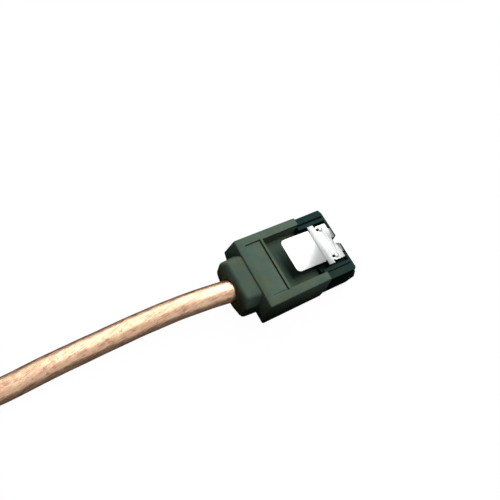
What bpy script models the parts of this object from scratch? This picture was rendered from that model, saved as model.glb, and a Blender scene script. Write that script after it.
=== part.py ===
"""A half-metre data cable with a latching seven-contact plug on each end.

Metres, +Z up. The near plug lies on its wide face, its middle over the origin and its mating end toward +X.
The cable leaves its boot toward -X, lies along the floor, is wound into a round coil and ends in the far plug.
"""

import math

import bmesh
import bpy
from mathutils import Matrix, Vector

PARTS_COLLECTION = "data_cable"
CUTTERS_COLLECTION = "cutters"
GAP = 0.0003  # kept between pieces that touch on the real cable
OVERSHOOT = 0.001  # how far a cutter runs past the face that it opens
SHARP_ANGLE = math.radians(30.0)  # edges that turn by more are rounded

# Whole plug
PLUG_LENGTH = 0.0246
PLUG_HEIGHT = 0.0085
BACK_HALF_WIDTH = 0.0075
SIDE_TAPER = 0.0002
SEAM_HALF_WIDTH = BACK_HALF_WIDTH - SIDE_TAPER
BACK_X = -PLUG_LENGTH / 2
NOSE_X = PLUG_LENGTH / 2
AXIS_Z = PLUG_HEIGHT / 2

# Latch: a bent steel sheet with a thumb pad over the pocket and a barbed plate in the nose
SHEET_THICKNESS = 0.0003
FRONT_BAR_THICKNESS = 0.0003  # the housing's bar ahead of the lip
LIP_LENGTH = 0.0006
PLATE_LENGTH = 0.0042
BEND_LENGTH = 0.0004
PAD_LENGTH = 0.0067
LATCH_TIP_X = NOSE_X - FRONT_BAR_THICKNESS - GAP
PLATE_FRONT_X = LATCH_TIP_X - LIP_LENGTH
PLATE_BACK_X = PLATE_FRONT_X - PLATE_LENGTH
PAD_FRONT_X = PLATE_BACK_X - BEND_LENGTH
LATCH_BACK_X = PAD_FRONT_X - PAD_LENGTH
PAD_BACK_RISE = 0.00035
PAD_FRONT_DROP = 0.00025
PLATE_BACK_DROP = 0.0005
PLATE_FRONT_DROP = 0.0010
LATCH_TIP_DROP = 0.0014
AXIS_SETBACK = 0.0002
AXIS_DROP = 0.0011
PAD_HALF_WIDTH = 0.0036
PAD_CORNER_RADIUS = 0.0009
EAR_HALF_WIDTH = 0.00445
EAR_LENGTH = 0.0014
EAR_NOTCH_LENGTH = 0.0004
EAR_NOTCH_DEPTH = 0.00065
PLATE_HALF_WIDTH = 0.0040
LIP_HALF_WIDTH = 0.00275
BARB_SETBACK = 0.0018
BARB_X = PLATE_FRONT_X - BARB_SETBACK
BARB_Y = 0.00315
BARB_RADIUS = 0.0006
BARB_HEIGHT = 0.0004
BARB_SINK = 0.00007
BARB_HOLE_RADIUS = 0.0003
CORNER_STEPS = 4
BARB_STEPS = 12

# Moulding: the grip block and the boot behind it
BOOT_LENGTH = 0.0040
NOSE_LENGTH = 0.0072
SHOULDER_X = BACK_X + BOOT_LENGTH
SEAM_X = NOSE_X - NOSE_LENGTH
PARTING_BULGE = 0.0012
SIDE_BULGE = 0.0003
BLOCK_EDGE_RADIUS = 0.0003
BOOT_EDGE_RADIUS = 0.0005
BOOT_DROP = 0.0004
BOOT_TOP_HALF_WIDTH = 0.0043
BOOT_SIDE_HALF_WIDTH = 0.0056
BOOT_SIDE_HALF_HEIGHT = 0.0019
BOOT_BACK_SLOPE = 0.0008
BOOT_TAPER = 0.0003
BOOT_KEEL_HALF_WIDTH = 0.0014
POCKET_DEPTH = 0.0032
POCKET_SIDE_WALL = 0.0019
THUMB_ROOM = 0.0027  # between the pad and the pocket's back wall
POCKET_HALF_WIDTH = BACK_HALF_WIDTH - POCKET_SIDE_WALL
POCKET_BACK_X = LATCH_BACK_X - THUMB_ROOM
RIDGE_LENGTH = 0.0005
RIDGE_HEIGHT = 0.0001
GROOVE_WIDTH = 0.0003
GROOVE_DEPTH = 0.0004
SIDE_SEAM_DEPTH = 0.0001
PANEL_SETBACK = 0.0016
PANEL_SIDE_MARGIN = 0.00205
PANEL_BACK_X = SHOULDER_X + PANEL_SETBACK
PANEL_FRONT_X = POCKET_BACK_X - RIDGE_LENGTH
PANEL_HALF_WIDTH = BACK_HALF_WIDTH - PANEL_SIDE_MARGIN
SOCKET_DEPTH = 0.0024
SOCKET_SIDE_WALL = 0.0011
SOCKET_FLOOR = 0.0012
SOCKET_ROOF = 0.0009
SOCKET_HALF_WIDTH = SEAM_HALF_WIDTH - SOCKET_SIDE_WALL
SOCKET_HIGH_Z = PLUG_HEIGHT - POCKET_DEPTH - SOCKET_ROOF
CABLE_SOCKET_DEPTH = 0.0024
CABLE_SOCKET_STEPS = 24
UNDERSIDE_PANEL_DEPTH = 0.00025
UNDERSIDE_PANEL_INSET = 0.0022

# Housing: the bare nose with its side ledges, the contact slot and the tongue held in the moulding
HOUSING_BACK_X = SEAM_X + GAP
NOSE_TOP_DROP = 0.0008
NOSE_TOP_Z = PLUG_HEIGHT - NOSE_TOP_DROP
NOSE_UPPER_INSET = 0.0001
NOSE_LOWER_INSET = 0.00035
NOSE_UPPER_HALF_WIDTH = SEAM_HALF_WIDTH - NOSE_UPPER_INSET
LEDGE_RISE = 0.00135
LEDGE_Z = AXIS_Z + LEDGE_RISE
RAIL_GROOVE_DEPTH = 0.0006
INNER_LEDGE_DROP = 0.0002
RECESS_DEPTH = 0.0015
RECESS_HALF_WIDTH = EAR_HALF_WIDTH + GAP
NOSE_CHAMFER_LENGTH = 0.0009
NOSE_CHAMFER_DROP = 0.00085
NOSE_CORNER_LENGTH = 0.0008
NOSE_CORNER_WIDTH = 0.0006
NOSE_CORNER_RISE = 0.0002  # from the ledge to the foot of each trimmed corner
NOSE_EDGE_RADIUS = 0.00012
NOTCH_LENGTH = 0.0013
NOTCH_BACK_HALF_WIDTH = 0.0007
NOTCH_FLARE = 0.0003  # how much wider each side of the notch is at the nose's face
NOTCH_CORNER_RADIUS = 0.0003
NOTCH_BACK_X = NOSE_X - NOTCH_LENGTH
SLOT_HALF_WIDTH = 0.0052
SLOT_HEIGHT = 0.0014
SLOT_DROP = 0.00025
SLOT_MIDDLE_Z = AXIS_Z - SLOT_DROP
SLOT_LOW_Z = SLOT_MIDDLE_Z - SLOT_HEIGHT / 2
SLOT_HIGH_Z = SLOT_MIDDLE_Z + SLOT_HEIGHT / 2
SLOT_KEY_WIDTH = 0.0012
SLOT_KEY_DROP = 0.0014

# Contacts and the channels that they lie in, which set how deep the slot is
CONTACT_COUNT = 7
CONTACT_PITCH = 0.00127
CONTACT_WIDTH = 0.0005
CONTACT_THICKNESS = 0.0002
CONTACT_BOW = 0.00035
CONTACT_LENGTH = 0.0032
CONTACT_STEPS = 8
GROUND_CONTACTS = (0, 3, 6)
GROUND_EXTRA_LENGTH = 0.0003
CHANNEL_SIDE_ROOM = 0.00025
CHANNEL_WIDTH = CONTACT_WIDTH + 2 * CHANNEL_SIDE_ROOM
CHANNEL_DEPTH = 0.0005
CHANNEL_SETBACK = 0.0017  # from the nose's face, so that the notch opens no channel
CHANNEL_BACK_ROOM = 0.0003
SLOT_DEPTH = CHANNEL_SETBACK + GAP + CONTACT_LENGTH + GROUND_EXTRA_LENGTH + GAP

# Cable, all of it measured along its middle line
CORD_DIAMETER = 0.0045
CORD_RADIUS = CORD_DIAMETER / 2
CORD_ROUNDNESS = 3
TURN_PITCH = CORD_DIAMETER + 0.0001
COIL_CENTRE = (-0.0900, -0.0215)
COIL_RADIUS = 0.0235
COIL_STEPS = 56
TURN_STEPS = 8
LAYER_RISE = TURN_PITCH * math.sin(math.radians(60))
TAIL_START_DEGREES = 300.0
TAIL_LEAD_DEGREES = 4.0
ROUTE_STEP = 2.0 * CORD_DIAMETER
FAR_PLUG_PLACE = (-0.0460, -0.0402, 0.0)
FAR_PLUG_TURN = math.radians(-8.0)

BLACK_PLASTIC = ("moulding_plastic", (0.030, 0.038, 0.034), 0.55, 0.0)
HOUSING_PLASTIC = ("housing_plastic", (0.020, 0.026, 0.028), 0.42, 0.0)
STEEL = ("latch_steel", (0.80, 0.80, 0.78), 0.30, 1.0)
GOLD = ("contact_gold", (0.85, 0.62, 0.25), 0.25, 1.0)
JACKET = ("cable_jacket", (0.72, 0.45, 0.27), 0.28, 0.4)


def clear_scene():
    for item in list(bpy.data.objects):
        bpy.data.objects.remove(item, do_unlink=True)


def collection(name):
    made = bpy.data.collections.new(name)
    bpy.context.scene.collection.children.link(made)
    return made


def material(look):
    name, colour, roughness, metallic = look
    if name in bpy.data.materials:
        return bpy.data.materials[name]
    made = bpy.data.materials.new(name)
    made.use_nodes = True
    shader = made.node_tree.nodes["Principled BSDF"]
    shader.inputs["Base Color"].default_value = (*colour, 1.0)
    shader.inputs["Roughness"].default_value = roughness
    shader.inputs["Metallic"].default_value = metallic
    return made


def dress(item, look):
    item.data.materials.clear()
    item.data.materials.append(material(look))
    return item


def mesh_object(name, mesh_builder):
    """An object whose mesh is what the function puts into a bmesh."""
    shape = bmesh.new()
    mesh_builder(shape)
    mesh = bpy.data.meshes.new(name)
    bmesh.ops.recalc_face_normals(shape, faces=shape.faces)
    shape.to_mesh(mesh)
    shape.free()
    return bpy.data.objects.new(name, mesh)


def boxes(name, corner_pairs):
    """One mesh of separate boxes, each given by its lowest and highest corner."""

    def build(shape):
        for low, high in corner_pairs:
            size = [b - a for a, b in zip(low, high)]
            middle = [(a + b) / 2 for a, b in zip(low, high)]
            place = Matrix.Translation(middle) @ Matrix.Diagonal((*size, 1.0))
            bmesh.ops.create_cube(shape, size=1.0, matrix=place)

    return mesh_object(name, build)


def hull(name, points):
    """The closed body stretched over some points, its flat faces left whole."""

    def build(shape):
        corners = [shape.verts.new(point) for point in points]
        bmesh.ops.convex_hull(shape, input=corners)
        bmesh.ops.dissolve_limit(
            shape, angle_limit=math.radians(1.0), verts=shape.verts, edges=shape.edges
        )

    return mesh_object(name, build)


def both_sides(points):
    """The points, and the same points across the plug's middle plane."""
    return points + [(x, -y, z) for x, y, z in points]


def arc(middle, radius, start, end, steps):
    """Points on an arc between two angles in degrees, both ends included."""
    angles = [math.radians(start + (end - start) * n / steps) for n in range(steps + 1)]
    return [
        (middle[0] + radius * math.cos(a), middle[1] + radius * math.sin(a))
        for a in angles
    ]


def as_mesh(item):
    """A curve object as a mesh object of the same name and place, its loose caps welded on."""
    bpy.context.scene.collection.objects.link(item)
    bpy.context.view_layer.update()
    graph = bpy.context.evaluated_depsgraph_get()
    mesh = bpy.data.meshes.new_from_object(item.evaluated_get(graph))
    shape = bmesh.new()
    shape.from_mesh(mesh)
    bmesh.ops.remove_doubles(shape, verts=shape.verts, dist=1e-7)
    shape.to_mesh(mesh)
    shape.free()
    name = item.name
    place = item.matrix_world.copy()
    bpy.data.objects.remove(item, do_unlink=True)
    made = bpy.data.objects.new(name, mesh)
    made.matrix_world = place
    return made


def flat_solid(name, outline, thickness, turn):
    """A closed outline given thickness on both sides of its plane, then turned to stand where it belongs."""
    curve = bpy.data.curves.new(name, "CURVE")
    curve.dimensions = "2D"
    curve.fill_mode = "BOTH"
    curve.extrude = thickness / 2
    spline = curve.splines.new("POLY")
    spline.points.add(len(outline) - 1)
    for point, (across, along) in zip(spline.points, outline):
        point.co = (across, along, 0.0, 1.0)
    spline.use_cyclic_u = True
    item = bpy.data.objects.new(name, curve)
    item.matrix_world = turn
    made = as_mesh(item)
    made.data.transform(made.matrix_world)
    made.matrix_world = Matrix.Identity(4)
    return made


def across_plug(name, outline, width):
    """An outline of (x, z) points, spread evenly over both sides of the plug's middle plane."""
    return flat_solid(name, outline, width, Matrix.Rotation(math.radians(90.0), 4, "X"))


def along_plug(name, outline, low_x, high_x):
    """An outline of (y, z) points, run along the plug between two x values."""
    stand = Matrix(((0, 0, 1, 0), (1, 0, 0, 0), (0, 1, 0, 0), (0, 0, 0, 1)))
    place = Matrix.Translation(((low_x + high_x) / 2, 0.0, 0.0))
    return flat_solid(name, outline, high_x - low_x, place @ stand)


def upright(name, outline, low_z, high_z):
    """An outline of (x, y) points, run upward between two heights."""
    place = Matrix.Translation((0.0, 0.0, (low_z + high_z) / 2))
    return flat_solid(name, outline, high_z - low_z, place)


def round_edges(item, radius, segments=2):
    bevel = item.modifiers.new("edges", "BEVEL")
    bevel.width = radius
    bevel.segments = segments
    bevel.limit_method = "ANGLE"
    bevel.angle_limit = SHARP_ANGLE
    return item


def combine(item, other, operation, cutters):
    """Joins, cuts or intersects an object with another, which then stays in the cutters' collection."""
    cutters.objects.link(other)
    other.hide_render = True
    other.display_type = "WIRE"
    step = item.modifiers.new(other.name, "BOOLEAN")
    step.operation = operation
    step.solver = "EXACT"
    step.object = other
    return item


def moulding_block():
    """The grip block: widest and longest at the parting line half way up, and narrower to the front."""
    points = []
    for z, share in ((0.0, 0.0), (AXIS_Z, 1.0), (PLUG_HEIGHT, 0.0)):
        side = share * SIDE_BULGE
        points.append((SHOULDER_X - share * PARTING_BULGE, BACK_HALF_WIDTH + side, z))
        points.append((SEAM_X + OVERSHOOT, SEAM_HALF_WIDTH + side, z))
    return round_edges(hull("moulding_block", both_sides(points)), BLOCK_EDGE_RADIUS)


def front_trim_cutter():
    """Cuts the block off square where the housing meets it, so that only its long edges are round."""
    reach = BACK_HALF_WIDTH + OVERSHOOT
    low = (SEAM_X, -reach, -OVERSHOOT)
    high = (SEAM_X + 2 * OVERSHOOT, reach, PLUG_HEIGHT + OVERSHOOT)
    return boxes("front_trim", [(low, high)])


def moulding_boot():
    """The boot: eight sides, and a back face that slopes to its edges but is upright below its middle."""
    front_x = SHOULDER_X + OVERSHOOT
    points = []
    for side in (-1.0, 1.0):
        flat_z = AXIS_Z + side * (AXIS_Z - BOOT_DROP)
        side_z = AXIS_Z + side * BOOT_SIDE_HALF_HEIGHT
        points.append((BACK_X + BOOT_BACK_SLOPE, BOOT_TOP_HALF_WIDTH - BOOT_TAPER, flat_z))
        points.append((BACK_X, BOOT_SIDE_HALF_WIDTH - BOOT_TAPER, side_z))
        points.append((front_x, BOOT_TOP_HALF_WIDTH, flat_z))
        points.append((front_x, BOOT_SIDE_HALF_WIDTH, side_z))
    points.append((BACK_X, BOOT_KEEL_HALF_WIDTH, BOOT_DROP))
    return round_edges(hull("moulding_boot", both_sides(points)), BOOT_EDGE_RADIUS)


def pocket_cutter():
    top = PLUG_HEIGHT + OVERSHOOT
    low = (POCKET_BACK_X, -POCKET_HALF_WIDTH, PLUG_HEIGHT - POCKET_DEPTH)
    return boxes("latch_pocket", [(low, (SEAM_X + OVERSHOOT, POCKET_HALF_WIDTH, top))])


def panel_cutter():
    """The grooves around the flush panel behind the pocket; the one on the right is only a moulding seam."""
    top = PLUG_HEIGHT + OVERSHOOT
    deep = PLUG_HEIGHT - GROOVE_DEPTH
    shallow = PLUG_HEIGHT - SIDE_SEAM_DEPTH
    outer = PANEL_HALF_WIDTH + GROOVE_WIDTH
    side_end = PANEL_FRONT_X - GROOVE_WIDTH
    front = ((side_end, -outer, deep), (PANEL_FRONT_X, outer, top))
    left = ((PANEL_BACK_X, PANEL_HALF_WIDTH, deep), (side_end + GROOVE_WIDTH / 2, outer, top))
    right = ((PANEL_BACK_X, -outer, shallow), (side_end + GROOVE_WIDTH / 2, -PANEL_HALF_WIDTH, top))
    return [boxes("panel_groove_front", [front]), boxes("panel_grooves_side", [left, right])]


def pocket_ridge():
    """The low rib that edges the pocket between its back wall and the panel's groove."""
    low = (PANEL_FRONT_X, -POCKET_HALF_WIDTH, PLUG_HEIGHT - GROOVE_DEPTH)
    high = (POCKET_BACK_X, POCKET_HALF_WIDTH, PLUG_HEIGHT + RIDGE_HEIGHT)
    return boxes("pocket_ridge", [(low, high)])


def socket_cutter():
    low = (SEAM_X - SOCKET_DEPTH, -SOCKET_HALF_WIDTH, SOCKET_FLOOR)
    high = (SEAM_X + OVERSHOOT, SOCKET_HALF_WIDTH, SOCKET_HIGH_Z)
    return boxes("housing_socket", [(low, high)])


def cable_socket_cutter():
    def build(shape):
        length = CABLE_SOCKET_DEPTH + OVERSHOOT
        middle = (BACK_X + CABLE_SOCKET_DEPTH - length / 2, 0.0, AXIS_Z)
        lie = Matrix.Rotation(math.radians(90.0), 4, "Y")
        bmesh.ops.create_cone(
            shape,
            cap_ends=True,
            segments=CABLE_SOCKET_STEPS,
            radius1=CORD_RADIUS + GAP,
            radius2=CORD_RADIUS + GAP,
            depth=length,
            matrix=Matrix.Translation(middle) @ lie,
        )

    return mesh_object("cable_socket", build)


def underside_cutter():
    inset = UNDERSIDE_PANEL_INSET
    low = (SHOULDER_X + inset, -SEAM_HALF_WIDTH + inset, -OVERSHOOT)
    high = (SEAM_X - inset, SEAM_HALF_WIDTH - inset, UNDERSIDE_PANEL_DEPTH)
    return boxes("underside_panel", [(low, high)])


def moulding(cutters):
    item = moulding_block()
    item.name = "moulding_near"
    combine(item, front_trim_cutter(), "DIFFERENCE", cutters)
    combine(item, moulding_boot(), "UNION", cutters)
    combine(item, pocket_cutter(), "DIFFERENCE", cutters)
    combine(item, pocket_ridge(), "UNION", cutters)
    for groove in panel_cutter():
        combine(item, groove, "DIFFERENCE", cutters)
    combine(item, socket_cutter(), "DIFFERENCE", cutters)
    combine(item, cable_socket_cutter(), "DIFFERENCE", cutters)
    combine(item, underside_cutter(), "DIFFERENCE", cutters)
    return dress(item, BLACK_PLASTIC)


def housing_outline():
    """The nose seen from the front: widest at the parting line, with a ledge and a groove on each side."""
    groove_y = PANEL_HALF_WIDTH + GROOVE_WIDTH
    groove_z = NOSE_TOP_Z - RAIL_GROOVE_DEPTH
    half = [
        (SEAM_HALF_WIDTH - NOSE_LOWER_INSET, 0.0),
        (SEAM_HALF_WIDTH + SIDE_BULGE, AXIS_Z),
        (NOSE_UPPER_HALF_WIDTH, LEDGE_Z),
        (NOSE_UPPER_HALF_WIDTH, NOSE_TOP_Z),
        (groove_y, NOSE_TOP_Z),
        (groove_y, groove_z),
        (PANEL_HALF_WIDTH, groove_z),
        (PANEL_HALF_WIDTH, NOSE_TOP_Z - INNER_LEDGE_DROP),
    ]
    return half + [(-y, z) for y, z in reversed(half)]


def nose_chamfer_cutter():
    """A wedge off the nose's upper front edge, its slope run on past both faces that it meets."""
    slope = Vector((NOSE_CHAMFER_LENGTH, -NOSE_CHAMFER_DROP))
    low = Vector((NOSE_X, NOSE_TOP_Z - NOSE_CHAMFER_DROP)) + slope
    high = Vector((NOSE_X - NOSE_CHAMFER_LENGTH, NOSE_TOP_Z)) - slope
    outline = [tuple(high), tuple(low), (low.x + OVERSHOOT, low.y), (low.x + OVERSHOOT, high.y)]
    return across_plug("nose_chamfer", outline, 2 * (SEAM_HALF_WIDTH + SIDE_BULGE + OVERSHOOT))


def nose_corner_cutter():
    """Two wedges off the nose's upper front corners, above its ledges and joined ahead of the nose."""
    slope = Vector((NOSE_CORNER_LENGTH, -NOSE_CORNER_WIDTH))
    back = Vector((NOSE_X - NOSE_CORNER_LENGTH, NOSE_UPPER_HALF_WIDTH)) - slope
    front = Vector((NOSE_X, NOSE_UPPER_HALF_WIDTH - NOSE_CORNER_WIDTH)) + slope
    half = [(front.x + OVERSHOOT, back.y), tuple(back), tuple(front)]
    outline = half + [(x, -y) for x, y in reversed(half)]
    return upright("nose_corners", outline, LEDGE_Z + NOSE_CORNER_RISE, PLUG_HEIGHT + OVERSHOOT)


def latch_recess_cutter():
    """The recess that the latch lies in: wide under its plate, then narrow for its lip."""
    half = [
        (HOUSING_BACK_X - OVERSHOOT, RECESS_HALF_WIDTH),
        (PLATE_FRONT_X + GAP, RECESS_HALF_WIDTH),
        (PLATE_FRONT_X + GAP, LIP_HALF_WIDTH + GAP),
        (LATCH_TIP_X + GAP, LIP_HALF_WIDTH + GAP),
    ]
    outline = half + [(x, -y) for x, y in reversed(half)]
    return upright("latch_recess", outline, NOSE_TOP_Z - RECESS_DEPTH, PLUG_HEIGHT + OVERSHOOT)


def notch_side():
    """The left side of the notch in the middle of the nose and the lip, from ahead of the nose inward."""
    reach = NOTCH_LENGTH + OVERSHOOT
    front_y = NOTCH_BACK_HALF_WIDTH + NOTCH_FLARE * reach / NOTCH_LENGTH
    corner = (NOTCH_BACK_X + NOTCH_CORNER_RADIUS, NOTCH_BACK_HALF_WIDTH - NOTCH_CORNER_RADIUS)
    turn = arc(corner, NOTCH_CORNER_RADIUS, 90.0, 180.0, CORNER_STEPS)
    return [(NOSE_X + OVERSHOOT, front_y)] + turn


def notch_cutter():
    """The notch in the nose, open to the recess, to the nose's face and down to the contact slot."""
    left = notch_side()
    outline = left + [(x, -y) for x, y in reversed(left)]
    return upright("nose_notch", outline, SLOT_MIDDLE_Z, PLUG_HEIGHT + OVERSHOOT)


def slot_cutter():
    """The contact slot with its key, an L seen from the front."""
    outline = [
        (-SLOT_HALF_WIDTH, SLOT_LOW_Z),
        (SLOT_HALF_WIDTH - SLOT_KEY_WIDTH, SLOT_LOW_Z),
        (SLOT_HALF_WIDTH - SLOT_KEY_WIDTH, SLOT_LOW_Z - SLOT_KEY_DROP),
        (SLOT_HALF_WIDTH, SLOT_LOW_Z - SLOT_KEY_DROP),
        (SLOT_HALF_WIDTH, SLOT_HIGH_Z),
        (-SLOT_HALF_WIDTH, SLOT_HIGH_Z),
    ]
    return along_plug("contact_slot", outline, NOSE_X - SLOT_DEPTH, NOSE_X + OVERSHOOT)


def contact_y(index):
    """The middle of a contact; the row is off centre, away from the slot's key."""
    row = (index - (CONTACT_COUNT - 1) / 2) * CONTACT_PITCH
    return row - SLOT_KEY_WIDTH / 2


def channel_cutter():
    """One channel above the slot for each contact, which also opens the slot's back wall a little."""
    pairs = []
    for index in range(CONTACT_COUNT):
        y = contact_y(index)
        back = NOSE_X - SLOT_DEPTH - CHANNEL_BACK_ROOM
        low = (back, y - CHANNEL_WIDTH / 2, SLOT_MIDDLE_Z)
        high = (NOSE_X - CHANNEL_SETBACK, y + CHANNEL_WIDTH / 2, SLOT_HIGH_Z + CHANNEL_DEPTH)
        pairs.append((low, high))
    return boxes("contact_channels", pairs)


def housing_tongue():
    low = (HOUSING_BACK_X - SOCKET_DEPTH, -SOCKET_HALF_WIDTH + GAP, SOCKET_FLOOR + GAP)
    high = (HOUSING_BACK_X + OVERSHOOT, SOCKET_HALF_WIDTH - GAP, SOCKET_HIGH_Z - GAP)
    return boxes("housing_tongue", [(low, high)])


def housing(cutters):
    item = along_plug("housing_near", housing_outline(), HOUSING_BACK_X, NOSE_X)
    combine(item, nose_chamfer_cutter(), "DIFFERENCE", cutters)
    combine(item, nose_corner_cutter(), "DIFFERENCE", cutters)
    round_edges(item, NOSE_EDGE_RADIUS, 1)
    combine(item, housing_tongue(), "UNION", cutters)
    combine(item, slot_cutter(), "DIFFERENCE", cutters)
    combine(item, channel_cutter(), "DIFFERENCE", cutters)
    combine(item, latch_recess_cutter(), "DIFFERENCE", cutters)
    combine(item, notch_cutter(), "DIFFERENCE", cutters)
    return dress(item, HOUSING_PLASTIC)


def contact(index):
    """A flat spring that hangs in its channel and bows down into the slot."""
    length = CONTACT_LENGTH
    if index in GROUND_CONTACTS:
        length += GROUND_EXTRA_LENGTH
    back = NOSE_X - SLOT_DEPTH + GAP
    top = SLOT_HIGH_Z + CHANNEL_DEPTH - GAP
    upper = []
    for n in range(CONTACT_STEPS + 1):
        share = n / CONTACT_STEPS
        upper.append((back + share * length, top - CONTACT_BOW * math.sin(math.pi * share)))
    lower = [(x, z - CONTACT_THICKNESS) for x, z in reversed(upper)]
    item = across_plug(f"contact_near_{index + 1}", upper + lower, CONTACT_WIDTH)
    item.location.y = contact_y(index)
    return dress(item, GOLD)


def latch_side_outline():
    """The sheet seen from the side: its middle line, thickened on both sides."""
    path = [
        (LATCH_BACK_X, PLUG_HEIGHT + PAD_BACK_RISE),
        (PAD_FRONT_X, PLUG_HEIGHT - PAD_FRONT_DROP),
        (PLATE_BACK_X, PLUG_HEIGHT - PLATE_BACK_DROP),
        (PLATE_FRONT_X, PLUG_HEIGHT - PLATE_FRONT_DROP),
        (LATCH_TIP_X, PLUG_HEIGHT - LATCH_TIP_DROP),
    ]
    normals = []
    for start, end in zip(path, path[1:]):
        along = Vector((end[0] - start[0], end[1] - start[1])).normalized()
        normals.append(Vector((-along.y, along.x)))
    upper = []
    lower = []
    for index, point in enumerate(path):
        before = normals[max(index - 1, 0)]
        after = normals[min(index, len(normals) - 1)]
        mitre = (before + after).normalized()
        offset = mitre * (SHEET_THICKNESS / 2 / mitre.dot(before))
        upper.append((point[0] + offset.x, point[1] + offset.y))
        lower.append((point[0] - offset.x, point[1] - offset.y))
    return upper + lower[::-1]


def latch_plan_outline():
    """The sheet seen from above: round pad corners, ears, and the notch in the middle of the lip."""
    ear_front = PLATE_BACK_X + EAR_LENGTH
    notch_front = ear_front + EAR_NOTCH_LENGTH
    corner = (LATCH_BACK_X + PAD_CORNER_RADIUS, PAD_HALF_WIDTH - PAD_CORNER_RADIUS)
    left = arc(corner, PAD_CORNER_RADIUS, 180.0, 90.0, CORNER_STEPS)
    left += [
        (PAD_FRONT_X, PAD_HALF_WIDTH),
        (PLATE_BACK_X, PAD_HALF_WIDTH - PAD_CORNER_RADIUS / 2),
        (PLATE_BACK_X, EAR_HALF_WIDTH),
        (ear_front, EAR_HALF_WIDTH),
        (ear_front, EAR_HALF_WIDTH - EAR_NOTCH_DEPTH),
        (notch_front, EAR_HALF_WIDTH - EAR_NOTCH_DEPTH),
        (notch_front, PLATE_HALF_WIDTH),
        (PLATE_FRONT_X, PLATE_HALF_WIDTH),
        (PLATE_FRONT_X, LIP_HALF_WIDTH),
        (NOSE_X + OVERSHOOT, LIP_HALF_WIDTH),
    ]
    left += notch_side()
    return left + [(x, -y) for x, y in reversed(left)]


def plate_z(x):
    """The height of the plate's middle line."""
    share = (PLATE_FRONT_X - x) / PLATE_LENGTH
    drop = PLATE_FRONT_DROP + (PLATE_BACK_DROP - PLATE_FRONT_DROP) * share
    return PLUG_HEIGHT - drop


def barb(y):
    """A bump punched up out of the plate, its open side toward the pad."""

    def build(shape):
        low = plate_z(BARB_X) + SHEET_THICKNESS / 2 - BARB_SINK
        squash = Matrix.Diagonal((1.0, 1.0, BARB_HEIGHT / BARB_RADIUS, 1.0))
        bmesh.ops.create_uvsphere(
            shape,
            u_segments=BARB_STEPS,
            v_segments=BARB_STEPS,
            radius=BARB_RADIUS,
            matrix=Matrix.Translation((BARB_X, y, low)) @ squash,
        )

    return mesh_object(f"barb_{'left' if y > 0 else 'right'}", build)


def barb_hole(y):
    def build(shape):
        x = BARB_X - BARB_RADIUS
        bmesh.ops.create_cone(
            shape,
            cap_ends=True,
            segments=BARB_STEPS,
            radius1=BARB_HOLE_RADIUS,
            radius2=BARB_HOLE_RADIUS,
            depth=SHEET_THICKNESS + 2 * OVERSHOOT,
            matrix=Matrix.Translation((x, y, plate_z(x))),
        )

    return mesh_object(f"barb_hole_{'left' if y > 0 else 'right'}", build)


def latch(cutters):
    """The latch, with its origin on the hinge line where the lip bends down into the nose."""
    item = across_plug("latch_near", latch_side_outline(), 2 * EAR_HALF_WIDTH + OVERSHOOT)
    plan = upright("latch_plan", latch_plan_outline(), 0.0, 2 * PLUG_HEIGHT)
    combine(item, plan, "INTERSECT", cutters)
    for y in (BARB_Y, -BARB_Y):
        combine(item, barb(y), "UNION", cutters)
        combine(item, barb_hole(y), "DIFFERENCE", cutters)
    axis = Vector((PLATE_FRONT_X - AXIS_SETBACK, 0.0, PLUG_HEIGHT - AXIS_DROP))
    item.data.transform(Matrix.Translation(-axis))
    item.location = axis
    return dress(item, STEEL)


def far_plug(near_pieces, parts):
    """The same plug again, at the far end of the cable."""
    bpy.context.view_layer.update()
    graph = bpy.context.evaluated_depsgraph_get()
    place = Matrix.Translation(FAR_PLUG_PLACE) @ Matrix.Rotation(FAR_PLUG_TURN, 4, "Z")
    for near in near_pieces:
        mesh = bpy.data.meshes.new_from_object(near.evaluated_get(graph))
        far = bpy.data.objects.new(near.name.replace("near", "far"), mesh)
        far.matrix_world = place @ near.matrix_world
        parts.objects.link(far)


def run_route():
    """The cable from inside the near boot to where it joins the coil's outer turn."""
    return [
        (BACK_X + CABLE_SOCKET_DEPTH - GAP, 0.0, AXIS_Z),
        (BACK_X, 0.0, AXIS_Z),
        (BACK_X - 0.005, 0.0006, 0.0040),
        (BACK_X - 0.011, 0.0012, 0.0033),
        (BACK_X - 0.018, 0.0015, 0.0026),
        (BACK_X - 0.026, 0.0014, CORD_RADIUS),
        (BACK_X - 0.035, 0.0011, CORD_RADIUS),
        (BACK_X - 0.044, 0.0006, CORD_RADIUS),
        (BACK_X - 0.052, 0.0013, CORD_RADIUS),
        (BACK_X - 0.060, 0.0027, CORD_RADIUS),
        (BACK_X - 0.068, 0.0038, CORD_RADIUS),
        (COIL_CENTRE[0], COIL_CENTRE[1] + COIL_RADIUS + TURN_PITCH / 2, CORD_RADIUS),
    ]


def tail_route():
    """The cable from the coil's top turn, down over its outer turn and into the far boot."""
    top_z = CORD_RADIUS + LAYER_RISE
    lead = TAIL_START_DEGREES - TAIL_LEAD_DEGREES
    start = arc(COIL_CENTRE, COIL_RADIUS, lead, TAIL_START_DEGREES, 1)
    place = Matrix.Translation(FAR_PLUG_PLACE) @ Matrix.Rotation(FAR_PLUG_TURN, 4, "Z")
    middle = [
        (-0.0733, -0.0395, 0.0065),
        (-0.0680, -0.0384, 0.0066),
        (-0.0642, -0.0381, 0.0054),
        (-0.0609, -0.0382, 0.0045),
    ]
    boot = [
        tuple(place @ Vector((BACK_X, 0.0, AXIS_Z))),
        tuple(place @ Vector((BACK_X + CABLE_SOCKET_DEPTH - GAP, 0.0, AXIS_Z))),
    ]
    return [(x, y, top_z) for x, y in start] + middle + boot


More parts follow.
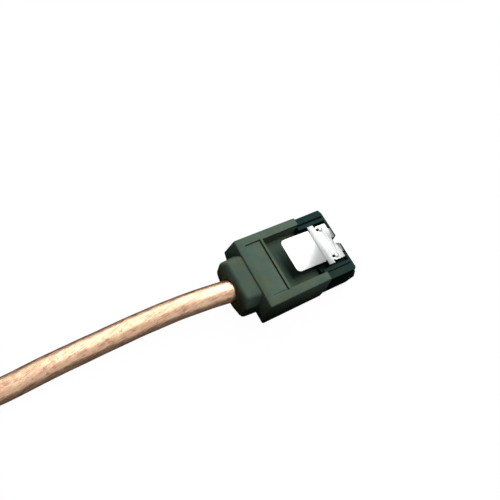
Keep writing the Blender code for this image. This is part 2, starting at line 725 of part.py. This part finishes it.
def smooth_route(points, step):
    """Points about a step apart on the smooth curve through a route's own points."""
    ends = [points[0]] + points + [points[-1]]
    corners = [Vector(point) for point in ends]
    made = []
    for a, b, c, d in zip(corners, corners[1:], corners[2:], corners[3:]):
        count = max(1, round((c - b).length / step))
        for n in range(count):
            t = n / count
            made.append(
                0.5
                * (
                    2.0 * b
                    + (c - a) * t
                    + (2.0 * a - 5.0 * b + 4.0 * c - d) * t**2
                    + (3.0 * b - a - 3.0 * c + d) * t**3
                )
            )
    return made + [corners[-1]]


def tube(name, points, radius):
    curve = bpy.data.curves.new(name, "CURVE")
    curve.dimensions = "3D"
    curve.bevel_depth = radius
    curve.bevel_resolution = CORD_ROUNDNESS
    curve.use_fill_caps = True
    spline = curve.splines.new("POLY")
    spline.points.add(len(points) - 1)
    for point, place in zip(spline.points, points):
        point.co = (*place, 1.0)
    return bpy.data.objects.new(name, curve)


def cord_run():
    return dress(tube("cable_run", smooth_route(run_route(), ROUTE_STEP), CORD_RADIUS), JACKET)


def cord_tail():
    return dress(tube("cable_tail", smooth_route(tail_route(), ROUTE_STEP), CORD_RADIUS), JACKET)


def channel_for(name, route):
    """A cutter that keeps the coil's solid a gap away from the tube along a route, past both ends of it."""
    points = smooth_route(route, ROUTE_STEP)
    first = points[0] + (points[0] - points[1]).normalized() * GAP
    last = points[-1] + (points[-1] - points[-2]).normalized() * GAP
    return as_mesh(tube(name, [first] + points + [last], CORD_RADIUS + GAP))


def coil_profile():
    """The outline around two turns side by side on the floor and a third on top of them."""
    inner = (COIL_RADIUS - TURN_PITCH / 2, CORD_RADIUS)
    outer = (COIL_RADIUS + TURN_PITCH / 2, CORD_RADIUS)
    top = (COIL_RADIUS, CORD_RADIUS + LAYER_RISE)
    outline = arc(outer, CORD_RADIUS, 30.0, -90.0, TURN_STEPS)
    outline += arc(inner, CORD_RADIUS, 270.0, 150.0, TURN_STEPS)
    outline += arc(top, CORD_RADIUS, 150.0, 30.0, TURN_STEPS)
    return outline


def coil(cutters):
    outline = coil_profile()

    def build(shape):
        corners = [shape.verts.new((x, 0.0, z)) for x, z in outline]
        for a, b in zip(corners, corners[1:] + corners[:1]):
            shape.edges.new((a, b))

    item = mesh_object("cable_coil", build)
    item.location = (*COIL_CENTRE, 0.0)
    turn = item.modifiers.new("turn", "SCREW")
    turn.steps = COIL_STEPS
    turn.render_steps = COIL_STEPS
    turn.use_merge_vertices = True
    turn.merge_threshold = 1e-5
    combine(item, channel_for("run_channel", run_route()), "DIFFERENCE", cutters)
    combine(item, channel_for("tail_channel", tail_route()), "DIFFERENCE", cutters)
    return dress(item, JACKET)


def main():
    clear_scene()
    parts = collection(PARTS_COLLECTION)
    cutters = collection(CUTTERS_COLLECTION)
    near_pieces = [moulding(cutters), housing(cutters), latch(cutters)]
    near_pieces += [contact(index) for index in range(CONTACT_COUNT)]
    for item in near_pieces:
        parts.objects.link(item)
    far_plug(near_pieces, parts)
    for item in (cord_run(), cord_tail(), coil(cutters)):
        parts.objects.link(item)


main()
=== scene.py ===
"""The data cable dressed for the photograph: lights, camera, the cable with its jacket, and both plugs.

Metres, in the CAD frame. The near plug lies over the origin with its mating end toward +X. Among a
material's values, a NOISE is a scale, a detail and a roughness, a BUMP is a depth and a strength, and STOPS
are positions along a ramp, each with its grey or its colour. The scales are per metre, apart from those of
the wires and flecks, which are per length and width of one of them.
"""

import math

import bmesh
import bpy
from mathutils import Matrix, Vector, noise

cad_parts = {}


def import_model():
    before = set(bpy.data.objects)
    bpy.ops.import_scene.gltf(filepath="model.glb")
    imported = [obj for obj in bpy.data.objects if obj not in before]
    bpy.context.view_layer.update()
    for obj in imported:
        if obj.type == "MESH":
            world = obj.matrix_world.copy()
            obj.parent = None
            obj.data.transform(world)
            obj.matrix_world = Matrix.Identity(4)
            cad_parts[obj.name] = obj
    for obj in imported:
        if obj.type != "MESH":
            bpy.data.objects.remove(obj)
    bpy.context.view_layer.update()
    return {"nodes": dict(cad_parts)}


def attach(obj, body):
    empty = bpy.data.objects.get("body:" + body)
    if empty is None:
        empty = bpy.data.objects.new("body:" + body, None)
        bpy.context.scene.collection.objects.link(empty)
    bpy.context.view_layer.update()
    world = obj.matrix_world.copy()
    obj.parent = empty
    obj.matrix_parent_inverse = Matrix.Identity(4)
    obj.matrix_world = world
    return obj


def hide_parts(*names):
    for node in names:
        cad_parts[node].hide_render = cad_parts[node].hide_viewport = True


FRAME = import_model()

# Sizes that the CAD part has too
GAP = 0.0003
PLUG_HEIGHT = 0.0085
BACK_X = -0.0123
SEAM_X = 0.0051
AXIS_Z = PLUG_HEIGHT / 2
CABLE_SOCKET_DEPTH = 0.0024
CORD_END_X = BACK_X + CABLE_SOCKET_DEPTH - GAP
CORD_DIAMETER = 0.0045
CORD_RADIUS = CORD_DIAMETER / 2
TURN_PITCH = 0.0046
COIL_CENTRE = (-0.0900, -0.0215)
COIL_RADIUS = 0.0235
CONTACT_COUNT = 7
NEAR_PLACE = Matrix.Identity(4)
FAR_ORIGIN = (-0.0460, -0.0402, 0.0)
FAR_TURN = math.radians(-8.0)
FAR_PLACE = Matrix.Translation(FAR_ORIGIN) @ Matrix.Rotation(FAR_TURN, 4, "Z")

# Camera, fitted to the photograph
PHOTO_PIXELS = 500
FOCAL_PIXELS = 621.16
SENSOR_WIDTH_MM = 36.0
CLIP_START = 0.005
CAMERA_PLACE = (-0.05024, -0.03398, 0.11116)
CAMERA_RIGHT = (0.857654, -0.478644, 0.187962)
CAMERA_DOWN = (-0.354726, -0.815321, -0.457626)
CAMERA_AHEAD = (0.372289, 0.32581, -0.86905)

# Studio
SOFTBOX_PLACE = (0.24, 0.50, 0.36)
SOFTBOX_SIZE = (0.52, 1.16)
SOFTBOX_RADIANCE = 2.5
FILL_COLOUR = (0.50, 0.75, 1.0)
FILL_STRENGTH = 0.02
BACKDROP_COLOUR = (0.8, 0.8, 0.8)
BACKDROP_STRENGTH = 1.0
FLOOR_SIZE = 6.0
FLOOR_COLOUR = (0.04, 0.04, 0.04)
FLOOR_ROUGHNESS = 0.9
FLOOR_GLOW_SEEN = 0.98
FLOOR_GLOW_REFLECTED = 0.15

# How the CAD meshes are cleaned, and how wide the bevels are on the sharp edges of a plug's pieces
JOIN_DISTANCE = 0.000002
FLAT_ANGLE = math.radians(1.0)
SHARP_ANGLE = math.radians(35.0)
EDGE_SEGMENTS = 2
MOULDING_EDGE = 0.00009
HOUSING_EDGE = 0.00007
LATCH_EDGE = 0.00004

# The notch in a latch sheet's front edge: where its back is along the plug, its half width, and its rim
NOTCH_BACK_RANGE = (0.0108, 0.0115)
NOTCH_REACH = 0.0012
NOTCH_RIM = 0.00035

# How the cord is wound, in degrees about the coil's middle
COIL_START = 90.0
MOVE_IN_START = 370.0
MOVE_IN_END = 450.0
CLIMB_START = 685.0
CLIMB_END = 730.0
CROSS_MIDDLE = 770.0
CROSS_SPAN = 35.0
COIL_END = 1020.0
COIL_STEP = 8.0

# How far the top turn rolls up round the outer one, and how much higher the cord lies where it crosses
CLIMB_ANGLE = math.radians(60.0)
CROSS_RISE = 0.0005

# The shape of the cord's surface, and the name of its texture map
RING_STEP = 0.0007
RING_SIDES = 44
FINE_STEP = RING_STEP / 4
STRANDS = 10
STRAND_LAY = 0.075
STRAND_RELIEF = 0.000008
LUMP_RELIEF = 0.00002
LUMP_SIZE = 0.0030
CORD_MAP = "cable"

# The cord's braid, and the clear jacket over it
WIRE_LENGTH = 0.0022
WIRE_WIDTH = 0.00030
WIRE_NOISE = (1.0, 3.0, 0.6)
WIRE_SHARE = 0.65
WIRE_TONE_STOPS = ((0.36, (0.52, 0.29, 0.21)), (0.50, (0.83, 0.53, 0.34)), (0.62, (0.90, 0.66, 0.42)))
WIRE_GLOSS_STOPS = ((0.3, 0.28), (0.7, 0.38))
WIRE_METALLIC = 0.95
WIRE_EDGE_TINT = (0.22, 0.10, 0.18)
WIRE_BUMP = (0.00006, 0.6)
FLECK_LENGTH = 0.0012
FLECK_WIDTH = 0.0005
FLECK_NOISE = (1.0, 1.0, 0.5)
FLECK_STOPS = ((0.27, 0.8), (0.34, 0.0))
FLECK_COLOUR = (0.36, 0.25, 0.13)
PATCH_NOISE = (700.0, 3.0, 0.6)
PATCH_BUMP = (0.00018, 0.4)
JACKET_WEIGHT = 0.25
JACKET_ROUGHNESS = 0.06
JACKET_TINT = (0.92, 0.82, 0.84)

# Moulded plastic
MOULDING_GREEN = (0.136, 0.206, 0.164)
MOULDING_OLIVE = (0.170, 0.216, 0.144)
MOULDING_GLOSS_STOPS = ((0.3, 0.50), (0.7, 0.61))
HOUSING_GREEN = (0.028, 0.066, 0.064)
HOUSING_OLIVE = (0.042, 0.070, 0.058)
HOUSING_GLOSS_STOPS = ((0.3, 0.43), (0.7, 0.54))
PLASTIC_SPECULAR = 0.0
DRIFT_NOISE = (240.0, 2.0, 0.5)
DRIFT_STOPS = ((0.40, 0.0), (0.62, 1.0))
MOTTLE_NOISE = (420.0, 4.0, 0.6)
MOTTLE_STOPS = ((0.30, 0.82), (0.72, 1.0))
WAVE_NOISE = (900.0, 2.0, 0.5)
WAVE_BUMP = (0.00004, 0.35)
GRAIN_NOISE = (7000.0, 2.0, 0.6)
GRAIN_BUMP = (0.00001, 0.6)

# Sheet steel, whose rolling lines are a noise drawn out along X
STEEL_CLOUD_NOISE = (600.0, 3.0, 0.5)
STEEL_TONE_STOPS = ((0.3, (0.47, 0.49, 0.48)), (0.7, (0.54, 0.55, 0.54)))
STEEL_LINE_STRETCH = (0.06, 1.0, 1.0)
STEEL_LINE_NOISE = (9000.0, 2.0, 0.5)
STEEL_LINE_BUMP = (0.000003, 0.2)
STEEL_GLOSS_STOPS = ((0.3, 0.30), (0.7, 0.40))

# Gold plate on the contacts
GOLD_CLOUD_NOISE = (2500.0, 3.0, 0.5)
GOLD_TONE_STOPS = ((0.3, (0.80, 0.55, 0.20)), (0.7, (0.90, 0.66, 0.28)))
GOLD_GLOSS_STOPS = ((0.3, 0.18), (0.7, 0.30))


def add_object(name, data):
    """A new object in the scene, at the origin."""
    item = bpy.data.objects.new(name, data)
    bpy.context.scene.collection.objects.link(item)
    return item


def camera():
    """The photograph's own view, from the place, axes and focal length that were fitted to it."""
    data = bpy.data.cameras.new("camera")
    data.sensor_width = SENSOR_WIDTH_MM
    data.lens = FOCAL_PIXELS / PHOTO_PIXELS * SENSOR_WIDTH_MM
    data.clip_start = CLIP_START
    item = add_object("camera", data)
    right = Vector(CAMERA_RIGHT)
    up = -Vector(CAMERA_DOWN)
    back = -Vector(CAMERA_AHEAD)
    turn = Matrix((right, up, back)).transposed().to_4x4()
    item.matrix_world = Matrix.Translation(CAMERA_PLACE) @ turn
    bpy.context.scene.camera = item


def node(tree, kind, **settings):
    """A new node of a kind, with its settings."""
    made = tree.nodes.new(kind)
    for name, value in settings.items():
        setattr(made, name, value)
    return made


def link(tree, source, target):
    tree.links.new(source, target)


def plain_material(name):
    """A new material, its node tree and its Principled shader."""
    made = bpy.data.materials.new(name)
    made.use_nodes = True
    return made, made.node_tree, made.node_tree.nodes["Principled BSDF"]


def object_place(tree):
    """Where a point is on its object, in metres."""
    return node(tree, "ShaderNodeTexCoord").outputs["Object"]


def noise_node(tree, place, values):
    """Noise at a place, with values of scale, detail and roughness."""
    made = node(tree, "ShaderNodeTexNoise")
    for name, value in zip(("Scale", "Detail", "Roughness"), values):
        made.inputs[name].default_value = value
    link(tree, place, made.inputs["Vector"])
    return made.outputs["Fac"]


def ramp_node(tree, value, stops):
    """A colour ramp over (position, colour) stops; a single number as colour is a grey."""
    made = node(tree, "ShaderNodeValToRGB")
    points = made.color_ramp.elements
    while len(points) < len(stops):
        points.new(1.0)
    for point, (position, colour) in zip(points, stops):
        point.position = position
        grey = isinstance(colour, float)
        point.color = (colour, colour, colour, 1.0) if grey else (*colour, 1.0)
    link(tree, value, made.inputs["Fac"])
    return made.outputs["Color"]


def maths(tree, operation, *values):
    """The result of a Math node, whose values are sockets or plain numbers."""
    made = node(tree, "ShaderNodeMath", operation=operation)
    for socket, value in zip(made.inputs, values):
        if isinstance(value, float):
            socket.default_value = value
        else:
            link(tree, value, socket)
    return made.outputs[0]


def colour_socket(mixer, name):
    """The Mix node's colour socket of a name that its number and vector sockets have too."""
    sockets = list(mixer.inputs) + list(mixer.outputs)
    return [s for s in sockets if s.name == name and s.type == "RGBA"][0]


def mix_colours(tree, amount, first, second, blend="MIX"):
    """Two colours mixed or blended, each a socket or a plain colour; the amount is a socket or a number."""
    made = node(tree, "ShaderNodeMix", data_type="RGBA", blend_type=blend)
    if isinstance(amount, float):
        made.inputs["Factor"].default_value = amount
    else:
        link(tree, amount, made.inputs["Factor"])
    for name, value in (("A", first), ("B", second)):
        socket = colour_socket(made, name)
        if isinstance(value, tuple):
            socket.default_value = (*value, 1.0)
        else:
            link(tree, value, socket)
    return colour_socket(made, "Result")


def paint(tree, shader, tone, gloss):
    """Gives the shader a colour and a roughness that vary over the surface."""
    link(tree, tone, shader.inputs["Base Color"])
    link(tree, gloss, shader.inputs["Roughness"])


def emboss(tree, shader, *layers):
    """Gives the shader layers of bump over each other, each a height and its (depth, strength)."""
    normal = None
    for height, (depth, strength) in layers:
        made = node(tree, "ShaderNodeBump")
        made.inputs["Distance"].default_value = depth
        made.inputs["Strength"].default_value = strength
        link(tree, height, made.inputs["Height"])
        if normal is not None:
            link(tree, normal, made.inputs["Normal"])
        normal = made.outputs["Normal"]
    link(tree, normal, shader.inputs["Normal"])


def plastic_material(name, green, olive, gloss_stops):
    """Matte moulded plastic with a fine grain, whose colour drifts a little from place to place."""
    made, tree, shader = plain_material(name)
    place = object_place(tree)
    drift = noise_node(tree, place, DRIFT_NOISE)
    clouds = noise_node(tree, place, MOTTLE_NOISE)
    hue = mix_colours(tree, ramp_node(tree, drift, DRIFT_STOPS), green, olive)
    mottle = ramp_node(tree, clouds, MOTTLE_STOPS)
    tone = mix_colours(tree, 1.0, hue, mottle, "MULTIPLY")
    paint(tree, shader, tone, ramp_node(tree, clouds, gloss_stops))
    shader.inputs["Specular IOR Level"].default_value = PLASTIC_SPECULAR
    waves = noise_node(tree, place, WAVE_NOISE)
    grain = noise_node(tree, place, GRAIN_NOISE)
    emboss(tree, shader, (waves, WAVE_BUMP), (grain, GRAIN_BUMP))
    return made


def steel_material():
    """Satin sheet steel with the fine lines of rolling along it."""
    made, tree, shader = plain_material("latch_steel_satin")
    place = object_place(tree)
    stretch = node(tree, "ShaderNodeMapping")
    stretch.inputs["Scale"].default_value = STEEL_LINE_STRETCH
    link(tree, place, stretch.inputs["Vector"])
    lines = noise_node(tree, stretch.outputs["Vector"], STEEL_LINE_NOISE)
    clouds = noise_node(tree, place, STEEL_CLOUD_NOISE)
    tone = ramp_node(tree, clouds, STEEL_TONE_STOPS)
    paint(tree, shader, tone, ramp_node(tree, lines, STEEL_GLOSS_STOPS))
    shader.inputs["Metallic"].default_value = 1.0
    emboss(tree, shader, (lines, STEEL_LINE_BUMP))
    return made


def gold_material():
    """Gold plate whose colour and gloss vary a little."""
    made, tree, shader = plain_material("contact_gold_plate")
    clouds = noise_node(tree, object_place(tree), GOLD_CLOUD_NOISE)
    tone = ramp_node(tree, clouds, GOLD_TONE_STOPS)
    paint(tree, shader, tone, ramp_node(tree, clouds, GOLD_GLOSS_STOPS))
    shader.inputs["Metallic"].default_value = 1.0
    return made


def lay_vector(tree, along, turned, length, width):
    """Texture places in which one unit is a feature's length along the wires' lay and its width across."""
    angle = maths(tree, "MULTIPLY", turned, 2.0 * math.pi)
    made = node(tree, "ShaderNodeCombineXYZ")
    link(tree, maths(tree, "DIVIDE", along, length), made.inputs["X"])
    for socket, turn in (("Y", "COSINE"), ("Z", "SINE")):
        reach = maths(tree, "MULTIPLY", maths(tree, turn, angle), CORD_RADIUS / width)
        link(tree, reach, made.inputs[socket])
    return made.outputs[0]


def cable_material():
    """A clear jacket over braided copper; U is metres along the cable and V is turns around it."""
    made, tree, shader = plain_material("cable_jacket_clear")
    where = node(tree, "ShaderNodeUVMap", uv_map=CORD_MAP)
    parts = node(tree, "ShaderNodeSeparateXYZ")
    link(tree, where.outputs["UV"], parts.inputs[0])
    along = parts.outputs["X"]
    turned = maths(tree, "ADD", parts.outputs["Y"], maths(tree, "DIVIDE", along, STRAND_LAY))
    wires = noise_node(tree, lay_vector(tree, along, turned, WIRE_LENGTH, WIRE_WIDTH), WIRE_NOISE)
    flecks = noise_node(tree, lay_vector(tree, along, turned, FLECK_LENGTH, FLECK_WIDTH), FLECK_NOISE)
    patches = noise_node(tree, object_place(tree), PATCH_NOISE)
    from_wires = maths(tree, "MULTIPLY", wires, WIRE_SHARE)
    from_patches = maths(tree, "MULTIPLY", patches, 1.0 - WIRE_SHARE)
    braid = ramp_node(tree, maths(tree, "ADD", from_wires, from_patches), WIRE_TONE_STOPS)
    tone = mix_colours(tree, ramp_node(tree, flecks, FLECK_STOPS), braid, FLECK_COLOUR)
    paint(tree, shader, tone, ramp_node(tree, patches, WIRE_GLOSS_STOPS))
    shader.inputs["Metallic"].default_value = WIRE_METALLIC
    shader.inputs["Specular Tint"].default_value = (*WIRE_EDGE_TINT, 1.0)
    shader.inputs["Coat Weight"].default_value = JACKET_WEIGHT
    shader.inputs["Coat Roughness"].default_value = JACKET_ROUGHNESS
    shader.inputs["Coat Tint"].default_value = (*JACKET_TINT, 1.0)
    emboss(tree, shader, (wires, WIRE_BUMP), (patches, PATCH_BUMP))
    return made


def curve_point(a, b, c, d, t):
    """The point a share t of the way from b to c, on the smooth curve through all four points."""
    slope = (c - a) * t
    bend = (2.0 * a - 5.0 * b + 4.0 * c - d) * t**2
    twist = (3.0 * b - a - 3.0 * c + d) * t**3
    return 0.5 * (2.0 * b + slope + bend + twist)


def smooth_route(points, step):
    """Points about a step apart on the smooth curve through a route's own points."""
    corners = [Vector(point) for point in [points[0]] + points + [points[-1]]]
    made = []
    for a, b, c, d in zip(corners, corners[1:], corners[2:], corners[3:]):
        count = max(1, round((c - b).length / step))
        made += [curve_point(a, b, c, d, n / count) for n in range(count)]
    return made + [corners[-1]]


def run_route():
    """The cable from inside the near boot to where it joins the coil's outer turn."""
    return [
        (CORD_END_X, 0.0, AXIS_Z),
        (BACK_X, 0.0, AXIS_Z),
        (BACK_X - 0.005, 0.0006, 0.0040),
        (BACK_X - 0.011, 0.0012, 0.0033),
        (BACK_X - 0.018, 0.0015, 0.0026),
        (BACK_X - 0.026, 0.0014, CORD_RADIUS),
        (BACK_X - 0.035, 0.0011, CORD_RADIUS),
        (BACK_X - 0.044, 0.0006, CORD_RADIUS),
        (BACK_X - 0.052, 0.0013, CORD_RADIUS),
        (BACK_X - 0.060, 0.0027, CORD_RADIUS),
        (BACK_X - 0.068, 0.0038, CORD_RADIUS),
    ]


def tail_route():
    """The cable from the coil's top, down over its outer turn and into the far boot."""
    return [
        (-0.0733, -0.0395, 0.0065),
        (-0.0680, -0.0384, 0.0066),
        (-0.0642, -0.0381, 0.0054),
        (-0.0609, -0.0382, 0.0045),
        tuple(FAR_PLACE @ Vector((BACK_X, 0.0, AXIS_Z))),
        tuple(FAR_PLACE @ Vector((CORD_END_X, 0.0, AXIS_Z))),
    ]


def ease(start, end, value):
    """A smooth rise from 0 at the start to 1 at the end."""
    share = min(max((value - start) / (end - start), 0.0), 1.0)
    return share * share * (3.0 - 2.0 * share)


def coil_point(degrees):
    """Where the cord is in the coil: the outer turn, the inner turn, then the part turn on top of both."""
    inward = ease(MOVE_IN_START, MOVE_IN_END, degrees)
    lift = CLIMB_ANGLE * ease(CLIMB_START, CLIMB_END, degrees)
    radius = COIL_RADIUS + TURN_PITCH / 2 - TURN_PITCH * inward
    radius += TURN_PITCH * (1.0 - math.cos(lift))
    cross = max(0.0, 1.0 - ((degrees - CROSS_MIDDLE) / CROSS_SPAN) ** 2)
    height = CORD_RADIUS + TURN_PITCH * math.sin(lift) + CROSS_RISE * cross
    angle = math.radians(degrees)
    return (
        COIL_CENTRE[0] + radius * math.cos(angle),
        COIL_CENTRE[1] + radius * math.sin(angle),
        height,
    )


def cord_path():
    """Points a ring step apart along the whole cord."""
    steps = int((COIL_END - COIL_START) / COIL_STEP)
    turns = [coil_point(COIL_START + n * COIL_STEP) for n in range(steps + 1)]
    fine = smooth_route(run_route() + turns + tail_route(), FINE_STEP)
    path = [fine[0]]
    for point in fine[1:]:
        while (point - path[-1]).length >= RING_STEP:
            path.append(path[-1] + (point - path[-1]).normalized() * RING_STEP)
    return path


def relief(metres, turns, place):
    """How far the jacket stands out over the strands and lumps below it: never more than nothing."""
    strand = math.sin(2.0 * math.pi * STRANDS * (turns + metres / STRAND_LAY))
    lump = noise.noise(place / LUMP_SIZE)
    return STRAND_RELIEF * (strand - 1.0) + LUMP_RELIEF * (lump - 1.0)


def cord_ring(shape, metres, point, side, across):
    """One ring of the cord's vertices about a point, from its side direction toward the one across."""
    ring = []
    for n in range(RING_SIDES):
        angle = 2.0 * math.pi * n / RING_SIDES
        outward = side * math.cos(angle) + across * math.sin(angle)
        reach = CORD_RADIUS + relief(metres, n / RING_SIDES, point + outward * CORD_RADIUS)
        ring.append(shape.verts.new(point + outward * reach))
    return ring


def cord_rings(shape, path):
    """Rings at all the points of a path, which turn about it no more than they must."""
    side = Vector((0.0, 0.0, 1.0))
    rings = []
    for index, point in enumerate(path):
        ahead = path[min(index + 1, len(path) - 1)] - path[max(index - 1, 0)]
        ahead.normalize()
        side = (side - ahead * side.dot(ahead)).normalized()
        rings.append(cord_ring(shape, index * RING_STEP, point, side, ahead.cross(side)))
    return rings


def cord_mesh(path):
    """A closed tube along the path, mapped by metres along it and turns around it."""
    shape = bmesh.new()
    layer = shape.loops.layers.uv.new(CORD_MAP)
    rings = cord_rings(shape, path)
    for index, (ring, following) in enumerate(zip(rings, rings[1:])):
        for n in range(RING_SIDES):
            m = (n + 1) % RING_SIDES
            face = shape.faces.new((ring[n], ring[m], following[m], following[n]))
            face.smooth = True
            corners = ((index, n), (index, n + 1), (index + 1, n + 1), (index + 1, n))
            for loop, (step, turn) in zip(face.loops, corners):
                loop[layer].uv = (step * RING_STEP, turn / RING_SIDES)
    shape.faces.new(rings[0][::-1])
    shape.faces.new(rings[-1])
    bmesh.ops.recalc_face_normals(shape, faces=shape.faces)
    mesh = bpy.data.meshes.new("cable")
    shape.to_mesh(mesh)
    shape.free()
    return mesh


def cord(far_pieces):
    """The cable as one piece, in the body named cable; the far plug's pieces passed to it are not used."""
    path = cord_path()
    item = add_object("cable", cord_mesh(path))
    item.data.materials.append(cable_material())
    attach(item, "cable")
    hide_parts("cable_run", "cable_coil", "cable_tail")


def clean_copy(cad, name):
    """A new object with the CAD piece's mesh, its triangles joined back into flat faces."""
    shape = bmesh.new()
    shape.from_mesh(cad.data)
    bmesh.ops.remove_doubles(shape, verts=shape.verts, dist=JOIN_DISTANCE)
    bmesh.ops.dissolve_limit(shape, angle_limit=FLAT_ANGLE, verts=shape.verts, edges=shape.edges)
    mesh = bpy.data.meshes.new(name)
    shape.to_mesh(mesh)
    shape.free()
    return add_object(name, mesh)


def close_seam(item, place):
    """Brings the moulding's front face up to the housing, as on the real plug."""
    back = place.inverted()
    for vertex in item.data.vertices:
        local = back @ vertex.co
        if abs(local.x - SEAM_X) < GAP / 2:
            local.x += GAP
            vertex.co = place @ local


def open_notch(item, place):
    """Draws the back of the sheet's notch in, so that the dark housing shows as a rim around it."""
    back = place.inverted()
    for vertex in item.data.vertices:
        local = back @ vertex.co
        if NOTCH_BACK_RANGE[0] < local.x < NOTCH_BACK_RANGE[1] and abs(local.y) < NOTCH_REACH:
            local.x -= NOTCH_RIM
            vertex.co = place @ local


def soften(item, width):
    """Rounds the sharp edges of a piece, and shades them smoothly into its flat faces."""
    for polygon in item.data.polygons:
        polygon.use_smooth = True
    edges = item.modifiers.new("edges", "BEVEL")
    edges.width = width
    edges.segments = EDGE_SEGMENTS
    edges.limit_method = "ANGLE"
    edges.angle_limit = SHARP_ANGLE
    edges.harden_normals = True


def plug(end, place, looks):
    """Dresses one plug and returns its pieces."""
    nodes = FRAME["nodes"]
    moulding = clean_copy(nodes[f"moulding_{end}"], f"moulded_grip_{end}")
    close_seam(moulding, place)
    housing = clean_copy(nodes[f"housing_{end}"], f"nose_{end}")
    latch = clean_copy(nodes[f"latch_{end}"], f"thumb_latch_sheet_{end}")
    open_notch(latch, place)
    dressing = (
        (moulding, "moulding", MOULDING_EDGE, "moulding_plastic", "cable"),
        (housing, "housing", HOUSING_EDGE, "housing_plastic", "cable"),
        (latch, "latch", LATCH_EDGE, "latch_steel", f"thumb_latch_{end}"),
    )
    for item, stem, edge, slot, body in dressing:
        soften(item, edge)
        item.data.materials.append(looks[stem])
        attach(item, body)
        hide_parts(f"{stem}_{end}")
    contacts = [nodes[f"contact_{end}_{n + 1}"] for n in range(CONTACT_COUNT)]
    for item in contacts:
        item.data.materials.clear()
        item.data.materials.append(looks["contact"])
    return [moulding, housing, latch] + contacts


def floor():
    """A plain floor that keeps the shadow, and that the camera sees as white and reflections as grey."""
    bpy.ops.mesh.primitive_plane_add(size=FLOOR_SIZE, location=(0.0, 0.0, 0.0))
    item = bpy.context.object
    item.name = "floor"
    made, tree, shader = plain_material("floor_white")
    shader.inputs["Base Color"].default_value = (*FLOOR_COLOUR, 1.0)
    shader.inputs["Roughness"].default_value = FLOOR_ROUGHNESS
    shader.inputs["Specular IOR Level"].default_value = 0.0
    rays = node(tree, "ShaderNodeLightPath")
    seen = maths(tree, "MULTIPLY", rays.outputs["Is Camera Ray"], FLOOR_GLOW_SEEN)
    reflected = maths(tree, "MULTIPLY", rays.outputs["Is Glossy Ray"], FLOOR_GLOW_REFLECTED)
    glow = node(tree, "ShaderNodeEmission")
    link(tree, maths(tree, "ADD", seen, reflected), glow.inputs["Strength"])
    both = node(tree, "ShaderNodeAddShader")
    link(tree, shader.outputs[0], both.inputs[0])
    link(tree, glow.outputs[0], both.inputs[1])
    link(tree, both.outputs[0], tree.nodes["Material Output"].inputs["Surface"])
    item.data.materials.append(made)


def world():
    """Pale grey behind the object and in its reflections, and a weak cool light from all around."""
    made = bpy.data.worlds.new("studio")
    made.use_nodes = True
    tree = made.node_tree
    fill = tree.nodes["Background"]
    fill.inputs["Color"].default_value = (*FILL_COLOUR, 1.0)
    fill.inputs["Strength"].default_value = FILL_STRENGTH
    backdrop = node(tree, "ShaderNodeBackground")
    backdrop.inputs["Color"].default_value = (*BACKDROP_COLOUR, 1.0)
    backdrop.inputs["Strength"].default_value = BACKDROP_STRENGTH
    rays = node(tree, "ShaderNodeLightPath")
    seen = maths(tree, "MAXIMUM", rays.outputs["Is Camera Ray"], rays.outputs["Is Glossy Ray"])
    pick = node(tree, "ShaderNodeMixShader")
    link(tree, seen, pick.inputs["Fac"])
    link(tree, fill.outputs[0], pick.inputs[1])
    link(tree, backdrop.outputs[0], pick.inputs[2])
    link(tree, pick.outputs[0], tree.nodes["World Output"].inputs["Surface"])
    bpy.context.scene.world = made


def softbox():
    """A rectangular area light that faces straight down."""
    width, depth = SOFTBOX_SIZE
    data = bpy.data.lights.new("overhead", "AREA")
    data.shape = "RECTANGLE"
    data.size = width
    data.size_y = depth
    data.energy = SOFTBOX_RADIANCE * math.pi * width * depth
    add_object("overhead", data).location = SOFTBOX_PLACE


def plug_looks():
    """The material of each kind of piece in a plug."""
    moulding = (MOULDING_GREEN, MOULDING_OLIVE, MOULDING_GLOSS_STOPS)
    housing = (HOUSING_GREEN, HOUSING_OLIVE, HOUSING_GLOSS_STOPS)
    return {
        "moulding": plastic_material("moulding_grain", *moulding),
        "housing": plastic_material("housing_grain", *housing),
        "latch": steel_material(),
        "contact": gold_material(),
    }


def main():
    camera()
    looks = plug_looks()
    plug("near", NEAR_PLACE, looks)
    cord(plug("far", FAR_PLACE, looks))
    floor()
    world()
    softbox()
    bpy.context.scene.view_settings.view_transform = "Standard"


main()
